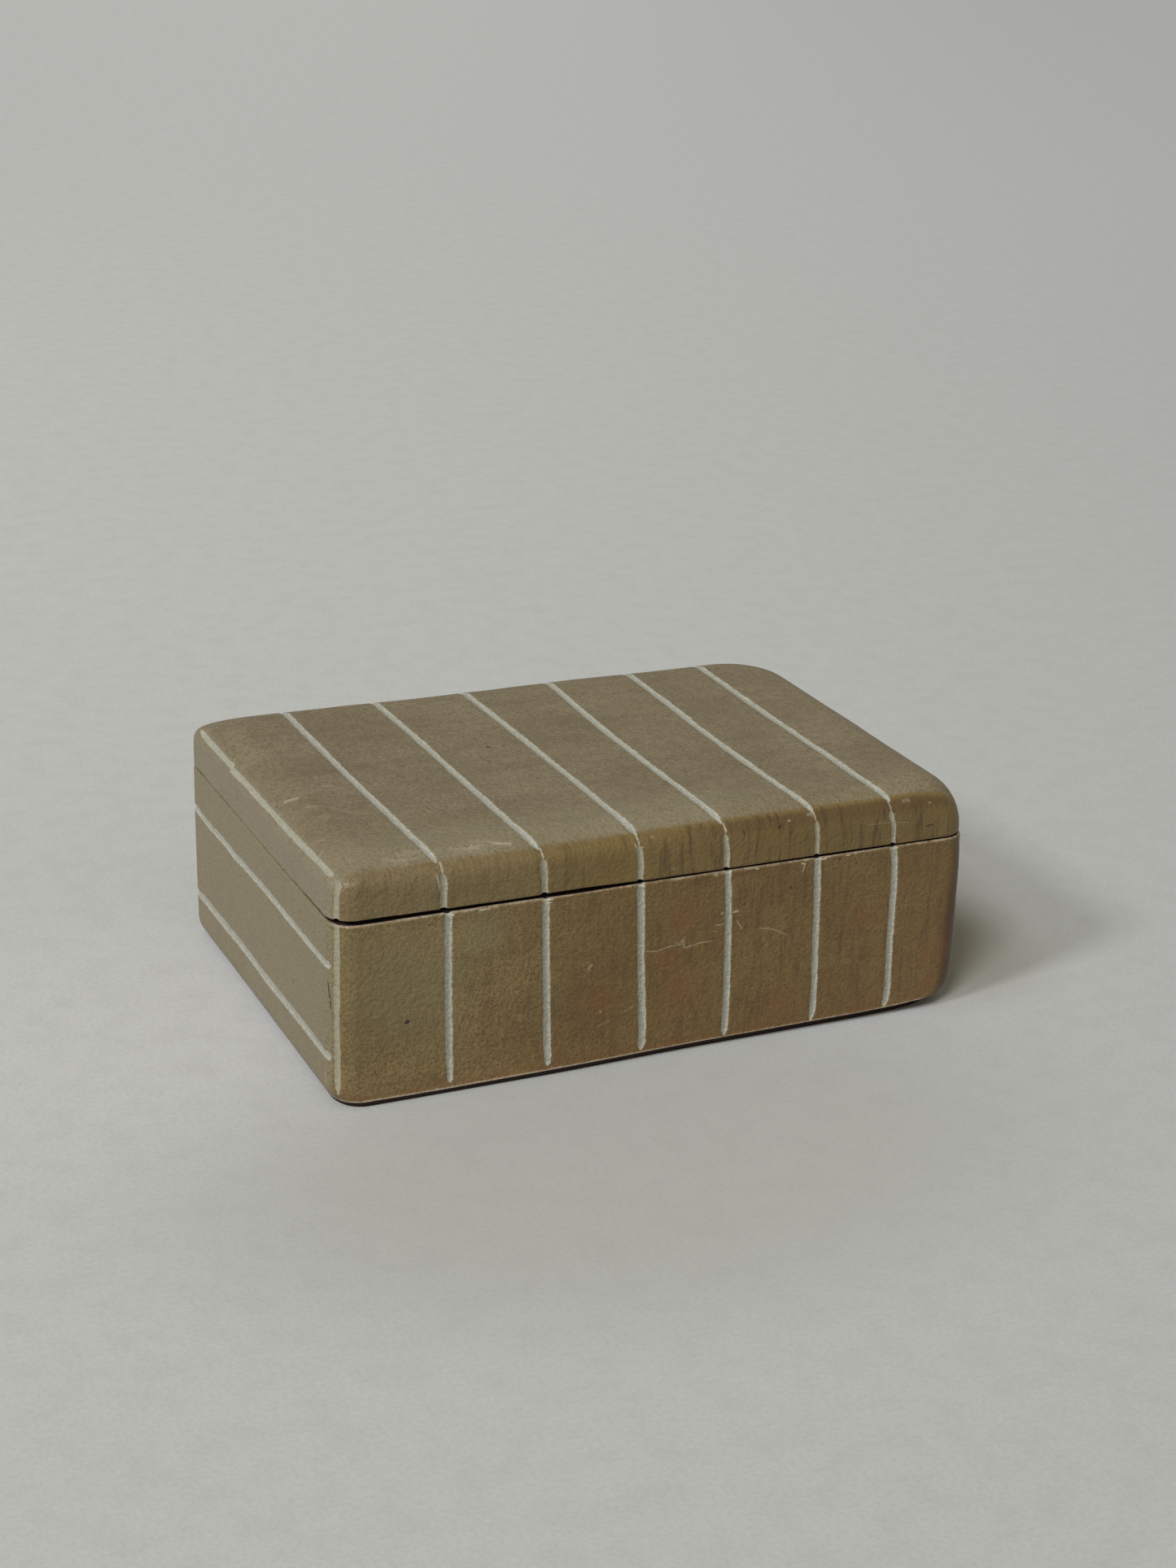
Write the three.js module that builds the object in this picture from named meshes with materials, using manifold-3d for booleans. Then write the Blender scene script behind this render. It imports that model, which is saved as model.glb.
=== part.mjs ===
// Hand-carved stone box with a lift-off lid, in millimetres, +Z up.
// The origin is the centre of the underside that the box stands on.
// +X runs along the long front face to the right, and +Y runs to the back.
import * as THREE from 'three';
import { mergeVertices } from 'three/addons/utils/BufferGeometryUtils.js';
import Module from 'manifold-3d';

const wasm = await Module();
wasm.setup();

// Overall size of the closed box
const boxLength = 127;
const boxWidth = 85;
const baseHeight = 35.4;
const lidHeight = 10.6;
const seamGap = 0.3;

// Radii of the four upright corners at the seam, seen from above, and what two of them gain at the foot
const frontLeftRadius = 4.8;
const frontRightRadius = 5.3;
const backRightRadius = 12;
const backLeftRadius = 3.7;
const frontRightFootGain = 4.4;
const backLeftFootGain = 6.5;

// Rounded top edge of the lid: how far it reaches in from the ends and the long sides,
// and how much of the lid's side stays upright below it
const topEaseEnds = 7.3;
const topEaseSides = 6.7;
const lidUprightEdge = 1;
const topCornerLoss = 2.2;

// Foot of the base: the ends roll under softly, and the long sides have a narrow bevel
const footReachEnds = 3.7;
const footRiseEnds = 4.2;
const footReachSides = 1.2;
const footRiseSides = 1.2;

// Worn edges along both sides of the seam
const rimEase = 0.45;

// Hollow of the base
const wallThickness = 7.5;
const floorThickness = 7;
const cavityCornerRadius = 6;
const cavityFloorEase = 4;

// Raised step under the lid that drops into the hollow
const plugDepth = 3;
const plugClearance = 0.8;
const plugEdgeEase = 0.8;
const plugOverlap = 2;

// Carved grooves
const grooveWidth = 1.35;
const grooveDepth = 0.4;
const edgeGrooveWidth = 1.6;
const footMargin = 1.9;
const endGrooveMargin = 3.4;

// Places of the grooves, as shares of the box length, or of the base height on the ends
const topGrooveShares = [-0.36, -0.212, -0.06, 0.077, 0.22, 0.35];
const sideGrooveShares = [-0.331, -0.183, -0.035, 0.103, 0.248, 0.376];
const endGrooveShares = [0.265, 0.765];

// Places round a corner or a rounded edge where a groove follows it, in degrees
const cornerGrooveAngle = 225;
const edgeGrooveAngle = 45;
const topGrooveDipAngle = 74;
const topGrooveEndAngle = 48;

// Counts of faces
const cornerSteps = 8;
const easeSteps = 8;
const grooveSides = 12;
const grooveCapSteps = 3;
const footSteps = 5;
const wallSteps = 4;

// One overrun serves every cut
const cutOverrun = 2;
const weldDistance = 1e-4;
const coordinates = 3;

const topEaseDrop = lidHeight - lidUprightEdge;
const plugCornerRadius = cavityCornerRadius - plugClearance;

// Corners run front left, front right, back right, back left
const outerCorners = [frontLeftRadius, frontRightRadius, backRightRadius, backLeftRadius];
const footGains = [0, frontRightFootGain, 0, backLeftFootGain];
const cavityCorners = outerCorners.map(() => cavityCornerRadius);
const plugCorners = outerCorners.map(() => plugCornerRadius);

// Colours: dyed olive-brown stone, paler inside where the dye is thin
const baseStone = new THREE.MeshStandardMaterial({ color: 0x65553b, roughness: 0.42, metalness: 0 });
const lidStone = new THREE.MeshStandardMaterial({ color: 0x7c715d, roughness: 0.4, metalness: 0 });

// One level of a body: its height, how far it lies inside the box's plan, and its corner radii
function level(z, endInset, sideInset, radii) {
  return { z, endInset, sideInset, radii };
}

// Counter-clockwise rounded rectangle at a level, as a flat list of coordinates
function planRing({ z, endInset, sideInset, radii }) {
  const halfLength = boxLength / 2 - endInset;
  const halfWidth = boxWidth / 2 - sideInset;
  const signs = [[-1, -1], [1, -1], [1, 1], [-1, 1]];
  const ring = [];
  signs.forEach(([signX, signY], corner) => {
    const radius = radii[corner];
    const centreX = signX * (halfLength - radius);
    const centreY = signY * (halfWidth - radius);
    for (let step = 0; step <= cornerSteps; step += 1) {
      const angle = Math.PI * (1 + corner / 2 + step / (2 * cornerSteps));
      ring.push(centreX + radius * Math.cos(angle), centreY + radius * Math.sin(angle), z);
    }
  });
  return ring;
}

// Closed body through a stack of levels, from the lowest to the highest
function stackedBody(levels) {
  const ringSize = 4 * (cornerSteps + 1);
  const positions = levels.flatMap(planRing);
  const triangles = [];
  for (let lower = 0; lower < levels.length - 1; lower += 1) {
    for (let here = 0; here < ringSize; here += 1) {
      const next = (here + 1) % ringSize;
      const a = lower * ringSize + here;
      const b = lower * ringSize + next;
      triangles.push(a, b, b + ringSize);
      triangles.push(a, b + ringSize, a + ringSize);
    }
  }
  const topStart = (levels.length - 1) * ringSize;
  for (let here = 1; here < ringSize - 1; here += 1) {
    triangles.push(0, here + 1, here);
    triangles.push(topStart, topStart + here, topStart + here + 1);
  }
  const geometry = new THREE.BufferGeometry();
  geometry.setAttribute('position', new THREE.Float32BufferAttribute(positions, coordinates));
  geometry.setIndex(triangles);
  return geometry;
}

function smaller(radii, loss) {
  return radii.map((radius) => radius - loss);
}

// How far a quarter round has closed in at a height above its narrow end
function roundInset(height, reach, rise) {
  const toGo = Math.max(0, 1 - height / rise);
  return reach * (1 - Math.sqrt(1 - toGo * toGo));
}

// Heights of a quarter round's lower steps, closer together where it turns fastest
function roundHeights(rise, steps) {
  return Array.from({ length: steps }, (_, step) => {
    const turn = (Math.PI / 2) * (step / steps);
    return rise * (1 - Math.cos(turn));
  });
}

// Degenerate triangles at a rod's poles are left out, because a solid can't hold them
function toSolid(geometry) {
  const bare = geometry.clone();
  bare.deleteAttribute('normal');
  bare.deleteAttribute('uv');
  const welded = mergeVertices(bare, weldDistance);
  const corners = welded.index.array;
  const kept = [];
  for (let start = 0; start < corners.length; start += 3) {
    const [a, b, c] = corners.slice(start, start + 3);
    if (a !== b && b !== c && c !== a) {
      kept.push(a, b, c);
    }
  }
  return new wasm.Manifold(new wasm.Mesh({
    numProp: coordinates,
    vertProperties: new Float32Array(welded.attributes.position.array),
    triVerts: new Uint32Array(kept),
  }));
}

function toGeometry(solid) {
  const mesh = solid.getMesh();
  const geometry = new THREE.BufferGeometry();
  geometry.setAttribute('position', new THREE.BufferAttribute(mesh.vertProperties, coordinates));
  geometry.setIndex(new THREE.BufferAttribute(mesh.triVerts, 1));
  geometry.computeVertexNormals();
  return geometry;
}

// A groove is the bite of a round-ended rod whose middle lies just outside the surface
function rodRadius(width) {
  return (width * width / 4 + grooveDepth * grooveDepth) / (2 * grooveDepth);
}

function grooveRod(start, end, width, outward) {
  const radius = rodRadius(width);
  const along = new THREE.Vector3().subVectors(end, start);
  const rod = new THREE.CapsuleGeometry(radius, along.length(), grooveCapSteps, grooveSides);
  const turn = new THREE.Quaternion().setFromUnitVectors(
    new THREE.Vector3(0, 1, 0),
    along.clone().normalize(),
  );
  const middle = new THREE.Vector3().addVectors(start, end).multiplyScalar(1 / 2);
  middle.addScaledVector(outward, radius - grooveDepth);
  rod.applyQuaternion(turn);
  rod.translate(middle.x, middle.y, middle.z);
  return toSolid(rod);
}

function point(x, y, z) {
  return new THREE.Vector3(x, y, z);
}

const frontY = -boxWidth / 2;
const backY = boxWidth / 2;
const leftX = -boxLength / 2;
const rightX = boxLength / 2;
const lidSeat = baseHeight + seamGap;
const lidTop = lidSeat + lidHeight;

// Point of the lid's rounded edge at an angle up from its side, as distances inwards and down
function edgePoint(degrees, reach) {
  const angle = THREE.MathUtils.degToRad(degrees);
  return { inwards: reach * (1 - Math.cos(angle)), down: topEaseDrop * (1 - Math.sin(angle)) };
}

// Grooves over the top: a level run, and a short dip onto the rounded edge at the front and the back
function topGrooves() {
  const dip = edgePoint(topGrooveDipAngle, topEaseSides);
  const end = edgePoint(topGrooveEndAngle, topEaseSides);
  return topGrooveShares.flatMap((share) => {
    const x = share * boxLength;
    const run = grooveRod(
      point(x, frontY + dip.inwards, lidTop),
      point(x, backY - dip.inwards, lidTop),
      grooveWidth,
      point(0, 0, 1),
    );
    const dips = [[frontY, 1], [backY, -1]].map(([y, inwards]) => {
      const outward = point(
        0,
        -inwards * (end.down - dip.down),
        dip.inwards - end.inwards,
      ).normalize();
      return grooveRod(
        point(x, y + inwards * dip.inwards, lidTop - dip.down),
        point(x, y + inwards * end.inwards, lidTop - end.down),
        grooveWidth,
        outward,
      );
    });
    return [run, ...dips];
  });
}

// Upright grooves on the front and the back, across the lid's edge and the base
function sideGrooves() {
  const faces = [[frontY, point(0, -1, 0)], [backY, point(0, 1, 0)]];
  return faces.flatMap(([y, outward]) => sideGrooveShares.map((share) => grooveRod(
    point(share * boxLength, y, footMargin),
    point(share * boxLength, y, lidTop),
    grooveWidth,
    outward,
  )));
}

// Level grooves on the two ends of the base
function endGrooves() {
  const faces = [[leftX, point(-1, 0, 0)], [rightX, point(1, 0, 0)]];
  return faces.flatMap(([x, outward]) => endGrooveShares.map((share) => grooveRod(
    point(x, frontY + endGrooveMargin, share * baseHeight),
    point(x, backY - endGrooveMargin, share * baseHeight),
    grooveWidth,
    outward,
  )));
}

// Upright groove on the front left corner
function cornerGroove() {
  const angle = THREE.MathUtils.degToRad(cornerGrooveAngle);
  const outward = point(Math.cos(angle), Math.sin(angle), 0);
  const x = leftX + frontLeftRadius * (1 + outward.x);
  const y = frontY + frontLeftRadius * (1 + outward.y);
  return grooveRod(point(x, y, footMargin), point(x, y, lidTop), edgeGrooveWidth, outward);
}

// Groove along the rounded left edge of the lid
function edgeGroove() {
  const angle = THREE.MathUtils.degToRad(edgeGrooveAngle);
  const place = edgePoint(edgeGrooveAngle, topEaseEnds);
  const x = leftX + place.inwards;
  const z = lidTop - place.down;
  const outward = point(
    -Math.cos(angle) * topEaseDrop,
    0,
    Math.sin(angle) * topEaseEnds,
  ).normalize();
  return grooveRod(point(x, frontY, z), point(x, backY, z), edgeGrooveWidth, outward);
}

const grooves = [...topGrooves(), ...sideGrooves(), ...endGrooves(), cornerGroove(), edgeGroove()];

// Outer level of the base: both feet close in towards the floor, and two corners grow rounder
function baseLevel(z) {
  const toFoot = 1 - z / baseHeight;
  return level(
    z,
    roundInset(z, footReachEnds, footRiseEnds),
    roundInset(z, footReachSides, footRiseSides),
    outerCorners.map((radius, corner) => radius + footGains[corner] * toFoot * toFoot),
  );
}

// The base: an outer block, hollowed from above
function baseSolid() {
  const footHeights = [
    ...roundHeights(footRiseEnds, footSteps),
    ...roundHeights(footRiseSides, footSteps),
    footRiseEnds,
    footRiseSides,
  ];
  const wallHeights = Array.from({ length: wallSteps }, (_, step) => (
    footRiseEnds + (baseHeight - rimEase - footRiseEnds) * ((step + 1) / wallSteps)
  ));
  const heights = [...new Set([...footHeights, ...wallHeights])].sort((a, b) => a - b);
  const outer = stackedBody([
    ...heights.map(baseLevel),
    level(baseHeight, rimEase, rimEase, smaller(outerCorners, rimEase)),
  ]);
  const cavity = stackedBody([
    ...[...roundHeights(cavityFloorEase, easeSteps), cavityFloorEase].map((height) => {
      const ease = roundInset(height, cavityFloorEase, cavityFloorEase);
      const inset = wallThickness + ease;
      return level(floorThickness + height, inset, inset, smaller(cavityCorners, ease));
    }),
    level(baseHeight + cutOverrun, wallThickness, wallThickness, cavityCorners),
  ]);
  return toSolid(outer).subtract(toSolid(cavity));
}

// The lid: a pillow-edged slab with a raised step under it
function lidSolid() {
  const depths = [...roundHeights(topEaseDrop, easeSteps), topEaseDrop].reverse();
  const slab = stackedBody([
    level(lidSeat, rimEase, rimEase, smaller(outerCorners, rimEase)),
    level(lidSeat + rimEase, 0, 0, outerCorners),
    ...depths.map((depth) => level(
      lidTop - depth,
      roundInset(depth, topEaseEnds, topEaseDrop),
      roundInset(depth, topEaseSides, topEaseDrop),
      smaller(outerCorners, roundInset(depth, topCornerLoss, topEaseDrop)),
    )),
  ]);
  const plugInset = wallThickness + plugClearance;
  const plugBottom = baseHeight - plugDepth;
  const easedInset = plugInset + plugEdgeEase;
  const plug = stackedBody([
    level(plugBottom, easedInset, easedInset, smaller(plugCorners, plugEdgeEase)),
    level(plugBottom + plugEdgeEase, plugInset, plugInset, plugCorners),
    level(lidSeat + plugOverlap, plugInset, plugInset, plugCorners),
  ]);
  return toSolid(slab).add(toSolid(plug));
}

function carved(solid) {
  return grooves.reduce((rest, groove) => rest.subtract(groove), solid);
}

function namedMesh(name, solid, material) {
  const mesh = new THREE.Mesh(toGeometry(solid), material);
  mesh.name = name;
  return mesh;
}

const group = new THREE.Group();
group.add(namedMesh('base', carved(baseSolid()), baseStone));
group.add(namedMesh('lid', carved(lidSolid()), lidStone));

export default group;
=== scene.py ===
"""Looks of a hand-carved stone box with a loose lid: dyed, waxed stone with pale scored grooves.

The two stone pieces are modelled as dense meshes around the frame, in millimetres, and turned
into metres when each mesh is made. X runs along the front face, Y to the back and Z up.
"""
import math

import bpy
import numpy as np
from mathutils import Matrix, Vector


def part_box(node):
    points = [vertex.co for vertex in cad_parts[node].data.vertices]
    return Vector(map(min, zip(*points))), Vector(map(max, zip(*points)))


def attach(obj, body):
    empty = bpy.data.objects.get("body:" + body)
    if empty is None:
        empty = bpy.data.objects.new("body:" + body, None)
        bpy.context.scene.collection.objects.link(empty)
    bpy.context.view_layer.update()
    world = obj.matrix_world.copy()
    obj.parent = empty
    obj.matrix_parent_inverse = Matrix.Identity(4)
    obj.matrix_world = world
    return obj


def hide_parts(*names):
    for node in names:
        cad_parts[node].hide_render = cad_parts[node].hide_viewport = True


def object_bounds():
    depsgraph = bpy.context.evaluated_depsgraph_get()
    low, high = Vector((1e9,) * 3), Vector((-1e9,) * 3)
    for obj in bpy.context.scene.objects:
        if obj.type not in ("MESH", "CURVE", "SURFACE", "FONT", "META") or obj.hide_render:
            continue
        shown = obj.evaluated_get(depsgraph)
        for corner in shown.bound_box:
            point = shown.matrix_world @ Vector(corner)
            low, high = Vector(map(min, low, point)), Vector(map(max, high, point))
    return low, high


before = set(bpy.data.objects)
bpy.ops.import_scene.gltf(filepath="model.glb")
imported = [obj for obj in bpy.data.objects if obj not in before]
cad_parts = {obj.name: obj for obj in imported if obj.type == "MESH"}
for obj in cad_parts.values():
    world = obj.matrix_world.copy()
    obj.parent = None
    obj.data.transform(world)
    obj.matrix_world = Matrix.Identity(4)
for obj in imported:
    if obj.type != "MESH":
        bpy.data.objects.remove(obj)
cad_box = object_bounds()

MM = 0.001

# Sizes taken from the frame
HALF_X = (cad_box[1][0] - cad_box[0][0]) / 2 / MM
HALF_Y = (cad_box[1][1] - cad_box[0][1]) / 2 / MM
LID_TOP = cad_box[1][2] / MM
BASE_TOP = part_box("base")[1][2] / MM
PLUG_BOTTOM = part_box("lid")[0][2] / MM

# Corner radii: front left, front right, back right, back left. The lid's lose TOP_CORNER_LOSS towards its
# top. The base's lose a little below the rim, and gain towards the foot by a power of the way down.
LID_RADII = np.array([4.8, 5.3, 12.0, 2.4])
TOP_CORNER_LOSS = np.array([0.8, 2.2, 2.2, -4.5])
BASE_RADII = np.array([4.8, 4.5, 12.0, 2.0])
WALL_LOSSES = np.array([0.0, 0.8, 0.0, 0.0])
WALL_LOSS_SHARE = 0.2
FOOT_GAINS = np.array([0.3, 3.7, 0.0, 2.6])
FOOT_POWERS = np.array([2, 8, 2, 2])

# Rounded upper edge of the lid: how far it reaches in and down, and its inset and drop at a tight turn. The
# right end has one wide round.
TOP_REACH = 7.3
TOP_DROP = 9.6
TIGHT_EDGE = [(0, TOP_DROP), (0, 5.2), (0.12, 4.2), (0.45, 3.3), (1.1, 2.6), (2.1, 1.95), (3.4, 1.25),
              (4.8, 0.65), (6.2, 0.2), (TOP_REACH, 0)]

# Foot of the base: rounded at both ends, and undercut all round. FOOT_EDGE holds x, the edge's height there,
# and how much deeper the front and the back are undercut.
FOOT_REACH_ENDS = 3.7
FOOT_RISE_ENDS = 4.2
FOOT_EDGE_HEIGHT = 1.35
FOOT_UNDERCUT = 0.8
FOOT_LIP = 0.1
FOOT_LIP_RISE = 0.6
FOOT_FORWARD_LEFT = 0.6
FOOT_SHARES = (0.0, 0.3, 0.6, 0.82, 0.94, 1.0)
SOLE_INSET = (4.9, 4.2)
SOLE_RADIUS_LOSS = 0.4
FOOT_EDGE = [(-60, 1.3, 0), (-42, 1.15, 0), (-18, 1.35, 0.1), (7, 1.5, 0.4), (33, 1.7, 0.7),
             (43, 1.8, 0.9), (51, 2, 1.3), (58, 2.45, 2.2), (63, 2.45, 2.4)]

# Seam: how far it stands open and how unevenly, the edges along it, and the rim's rings of painted shade as
# inset and value, which colour the rim near black just inside the open seam
HALF_GAP = 0.15
SEAM_MIDDLE = BASE_TOP + HALF_GAP
SEAM_FRONT_LEFT = 0.95
SEAM_FRONT_RIGHT = 0.48
SEAM_LEFT = 0.3
SEAM_BACK = 0.28
SEAM_UNEVEN = 0.14
SEAM_UNEVEN_LEFT = 0.3
RIM_RADIUS = 0.42
RIM_SHOULDER = 0.75
SHADE_REACH = 1.8
RIM_SHADE = ((0.55, -0.8), (0.9, -1), (SHADE_REACH, -0.5))
WALL_TOP = BASE_TOP - 1.6
LID_EDGE_RADIUS = 0.2

# Hollow and the step under the lid
WALL = 7.5
FLOOR = 7.0
CAVITY_RADIUS = 6.0
CAVITY_FLOOR_RADIUS = 4.0
CAVITY_LIP = 0.5
PLUG_CLEARANCE = 0.8
PLUG_INSET = WALL + PLUG_CLEARANCE
PLUG_EDGE = 0.8
PLUG_FILLET = 0.2

# Grooves: half their widths, their depth, and the margin that points are looked at in. FAR is out of reach.
TOP_HALF_WIDTH = 0.79
FRONT_HALF_WIDTH = 0.73
EDGE_HALF_WIDTH = 0.6
CORNER_HALF_WIDTH = 0.6
GROOVE_DEPTH = 0.34
GROOVE_MARGIN = 4.0
FAR = 9.0

# Grooves over the top: x and y from the back, then x along the hook at the front, and where it ends. The
# levels are the y of the carved line's points, up to where the surface bends down.
HOOK_Y = (-35, -36.5, -38, -39, -40)
TOP_LEVELS = [40.8, 39.6, 38.2, 36.5, *range(34, -35, -4)]
HOOK_START = -35.2
HOOK_LEVELS = 7
TOP_GROOVES = [run + list(zip(hook, HOOK_Y)) + [end] for run, hook, end in (
    ([(-46.3, 31.7), (-46.2, 17.7), (-46.2, -3.4), (-46, -17.5), (-45.7, -28)],
     (-45.55, -45.2, -44.85, -44.45, -44.2), (-44, -40.7)),
    ([(-27.4, 31.7), (-27.1, 17.5), (-26.9, 3.4), (-27.1, -10.8), (-27, -26)],
     (-26.7, -26.4, -25.9, -25.5, -25.05), (-24.8, -40.8)),
    ([(-8.3, 31.7), (-7.9, 17.6), (-7.7, 3.4), (-7.55, -26)],
     (-7.45, -7.15, -6.75, -6.3, -6), (-5.8, -40.8)),
    ([(10.2, 31.7), (9.7, 17.5), (9.2, 3.4), (9.2, -10.7), (9.4, -26)],
     (9.45, 9.75, 10.3, 10.7, 11.05), (11.2, -40.8)),
    ([(28.2, 28), (28, 17.4), (27.5, 3.2), (27.3, -11), (27.4, -27)],
     (27.75, 28.1, 28.8, 29.3, 29.7), (30, -41)),
    ([(44.5, 31.6), (44.3, 17.4), (44, 3.2), (44.1, -22), (43.9, -31)],
     (44, 44.4, 45.2, 45.65, 46), (46.3, -41)),
)]

# Upright grooves on the lid's front: x at the seam and at the thin upper tip, and half width
LID_FRONT_GROOVES = [(-43.2, -43.3, 0.72), (-24.1, -24.4, 0.68), (-5.45, -5.8, 0.66), (11.85, 11.4, 0.6),
                     (30.6, 30.3, 0.5), (46.8, 46, 0.52)]

# Upright grooves on the base's front: x and z from the rim down
BASE_FRONT_GROOVES = [
    [(-42.3, 34.5), (-42.1, 22), (-41.8, 11), (-41.6, 1.7)],
    [(-23.7, 34.5), (-23.4, 24), (-22.9, 12), (-22.6, 1.7)],
    [(-5.2, 34.3), (-4.8, 28.2), (-4.6, 21.7), (-4, 11.9), (-3.6, 5.6), (-3.9, 1.9)],
    [(12.3, 34.8), (12.8, 28.8), (13.1, 22.3), (13.2, 17.4), (13.5, 9), (13.4, 1.9)],
    [(30.9, 34.7), (31.4, 27.8), (31.7, 17.8), (32, 11), (32.1, 4.2), (31.7, 1.9)],
    [(47, 34.8), (47.6, 32.7), (47.8, 25.4), (47.8, 16.9), (48, 10.1), (48.2, 5), (47.6, 2.1)],
]

# Level grooves on the two ends of the base: y and z from the back
END_GROOVES = [
    [(42, 27.2), (38, 26.8), (32.7, 26.5), (25.7, 26.8), (18.7, 26.9), (14.6, 26.6), (11.7, 26.9),
     (4.7, 27.1), (-2.3, 27.4), (-16.3, 27.3), (-23.3, 27.1), (-39.8, 27.1)],
    [(42, 8.9), (38, 9.1), (32.6, 9.4), (25.6, 9.3), (18.6, 9.6), (4.6, 9.6), (-2.4, 9.4),
     (-16.4, 9.6), (-30, 9.8), (-39.8, 9.5)],
]
END_HALF_WIDTHS = [0.84, 0.98]

# Groove along the lid's rounded left edge, from the back: y and drop below the top, with a kink
EDGE_GROOVE = [(38.8, 2.75), (35, 2.95), (28.6, 2.9), (22, 2.9), (18.6, 2.85), (18.2, 2.65), (17.7, 3.3),
               (16.5, 3.2), (9, 3.05), (0, 3.05), (-10, 3), (-20, 2.95), (-30, 2.78),
               (-38.9, 2.65)]

# Groove up the front left corner: z and how far it lies to the left of the corner's middle
BASE_CORNER_GROOVE = [(37, 0.3), (34, 0.3), (28, 0.32), (20, 0.36), (12, 0.26), (6, 0.15),
                      (2.5, -0.1)]
LID_CORNER_GROOVE = [(34.5, 0.4), (36.5, 0.4), (38.5, 0.4), (40.5, 0.36), (42, 0.1), (42.9, 0)]

# Mesh: the straight stretches of its sides, the steps along them, how much sparser the inside is, points in
# half a corner, and the places that it is finer around
STRAIGHT_X = (-50, 50)
STRAIGHT_Y = (-31, 29)
FINE_STEP = 0.2
COARSE_STEP = 0.9
LID_SIDE_STEP = 0.7
STEP_GROWTH = 0.35
GROOVE_REACH = 1.3
LEVEL_REACH = 1.2
SPARSER = 4
BASE_CORNER_STEPS = 30
LID_CORNER_STEPS = 28
FRONT_STEPS = [x for run in BASE_FRONT_GROOVES for x, z in run]
LID_STEPS = [x for run in TOP_GROOVES for x, y in run] + [x for run in LID_FRONT_GROOVES for x in run[:2]]
WALL_LEVELS = [FOOT_EDGE_HEIGHT] + [z for run in END_GROOVES for y, z in run]
EDGE_SHARE = 0.575

# Marks on the base: half width and strength of a stroke, then the x and z of its corners on the front, or
# their y and z on the left
FRONT_SCRATCHES = [
    (0.13, 0.6, -3.6, 21.7, -1.3, 21.4, 1, 22, 3.3, 22, 4.1, 21.4, 5, 21.3, 7, 21.7, 9.7, 21.8),
    (0.12, 0.45, 4.1, 23.5, 3.9, 21.3), (0.15, 0.6, 10.4, 24.7, 12, 24.8), (0.24, 1, 13.9, 26.9, 14.8, 27),
    (0.14, 0.6, 14.7, 25, 15.9, 23.3), (0.13, 0.55, 19.5, 22.8, 21.3, 22.5, 23.1, 21.8, 25.3, 20.6),
    (0.14, 0.3, -16, 18.5, -14.7, 19.7), (0.15, 0.35, -7.6, 10.2, -5.8, 11), (0.14, 0.3, -13, 8, -10.6, 9),
    (0.25, 0.7, 11.5, 27, 11.7, 27.1), (0.25, 0.7, -14.6, 20.7, -14.4, 20.7),
    (0.25, 0.5, -12.3, 11.1, -12.2, 11),
]
RIM_CHIPS = [
    (0.13, 0.7, -36.5, 34.7, -34.6, 34.8), (0.22, 0.8, -42.6, 34.6, -41.3, 34.6),
    (0.16, 0.8, -24.4, 34.7, -22.4, 34.8), (0.2, 0.8, -23.7, 34.8, -23.6, 33.6),
    (0.24, 0.8, -5.5, 34.7, -4.6, 34.7), (0.2, 0.8, 11.7, 34.8, 12.8, 34.8),
    (0.14, 0.7, 9.6, 34.8, 10.2, 34.8), (0.13, 0.6, 18, 34.9, 18.5, 34.9),
    (0.13, 0.7, 27.5, 34.6, 28.4, 34.5, 27.9, 33), (0.17, 0.8, 30.2, 34.8, 32.6, 34.9),
    (0.14, 0.6, 36.9, 34.9, 37.6, 34.9), (0.2, 0.8, 46.4, 34.8, 47.8, 34.9),
]
FRONT_PITS = [
    (0.34, 1, -49.7, 15.2, -49.6, 15.3), (0.22, 0.8, 25.5, 30, 25.6, 30), (0.3, 0.9, 35.8, 34.3, 36, 34.3),
    (0.16, 0.5, -12.1, 23.3, -12, 23.2),
]
LEFT_CRACKS = [
    (0.15, 1, -39.1, 23.6, -39.6, 20.8), (0.13, 0.7, -39.7, 19.6, -39.8, 18.9),
    (0.25, 0.7, -21, 16, -21.1, 16), (0.25, 0.7, -25.2, 31.5, -25.3, 31.5),
]
LEFT_SCRATCHES = [(0.13, 0.6, -38.1, 6.2, -38.5, 3.1)]

# Stains on the front of the base: x, z and reach
RED_STAINS = [(58, 12.2, 5), (4.4, 13, 6.5), (4, 27, 5), (0.8, 19.3, 4.5), (56.8, 6, 3.5),
              (-12.5, 13, 4.5), (25.1, 7.1, 4.5), (42, 22, 4)]
GREEN_STAINS = [(-50, 23, 19), (-36, 30, 8)]

# Marks on the lid, with the x and y of their corners on its top, and the x and z on its front
TOP_SCRATCHES = [
    (0.24, 0.22, -57.7, -13, -56.4, -13.8, -54.3, -15.5, -52.3, -18.7, -49.6, -20.4),
    (0.4, 0.25, -52.2, -4.9, -50.7, -5.3), (0.4, 0.25, -60.8, -25.9, -59.6, -26.6),
    (0.3, 0.3, -62.4, -31.3, -60.8, -29.6), (0.26, 0.16, -41.3, -28.4, -37.1, -32.7),
    (0.3, 0.75, -32.3, -38.4, -29.5, -39), (0.24, 0.65, -37.2, -38.6, -35.5, -39),
    (0.2, 0.3, -40.6, -38.3, -37.1, -39), (0.24, 0.25, -36.4, -37.3, -33, -37.8),
    (0.3, 0.22, -49.1, -37.5, -45.7, -37.9), (0.2, 0.3, -53.2, -38.7, -50, -39.4, -47.2, -39.3),
    (0.45, 0.75, -60.1, -6.8, -58.3, -7.7), (0.4, 0.4, -63.2, -9.2, -62.5, -9.8),
    (0.34, 0.35, -58, -12.5, -56.9, -13.3),
]
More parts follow.
